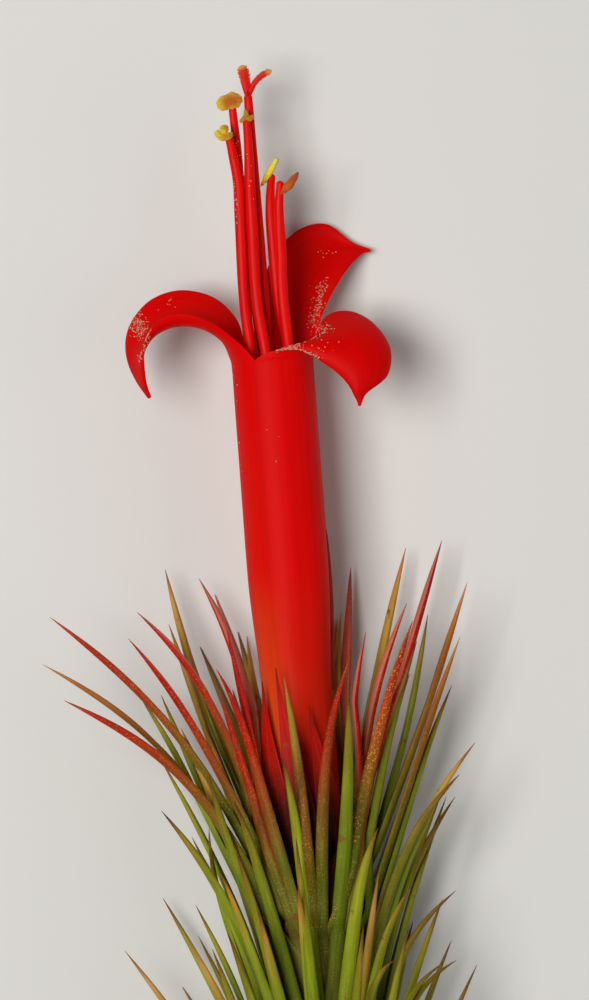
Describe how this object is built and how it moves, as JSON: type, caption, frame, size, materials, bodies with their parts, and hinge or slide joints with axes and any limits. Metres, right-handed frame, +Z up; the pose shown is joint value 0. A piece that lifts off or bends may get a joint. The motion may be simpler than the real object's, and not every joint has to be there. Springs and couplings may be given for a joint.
{
  "type": "tillandsia funckiana flowering shoot",
  "caption": "Flowering end of a leafy air-plant shoot laid on its side: a spindle of needle-like leaves and one long tubular flower with rolled petals and protruding stamens.",
  "frame": {"origin": "on the surface the shoot lies on, under the middle of the shoot's box", "axes": "+Y along the shoot from its cut end to the stigma, +Z up from the surface to the side seen in the picture, +X to the right across the shoot in the picture"},
  "size_m": [0.028, 0.0942, 0.018],
  "materials": {
    "leaf": "living leaf, satin, scaly; green at the base, orange to scarlet round the flower",
    "petal": "smooth scarlet petal with a soft gloss",
    "sepal": "thin red scale leaf, satin",
    "filament": "smooth scarlet stamen thread and style",
    "pollen": "grainy pollen sac, bright yellow to burnt orange"
  },
  "bodies": {
    "root": {"leafy_stem": "leaf", "floral_bract": "sepal", "sepal_1": "sepal", "sepal_2": "sepal", "sepal_3": "sepal", "petal_left": "petal", "petal_front": "petal", "petal_back": "petal", "filament_1": "filament", "filament_2": "filament", "filament_3": "filament", "filament_4": "filament", "filament_5": "filament", "filament_6": "filament", "anther_1": "pollen", "anther_2": "pollen", "anther_3": "pollen", "anther_4": "pollen", "anther_5": "pollen", "anther_6": "pollen", "pistil": "filament"}
  },
  "joints": []
}
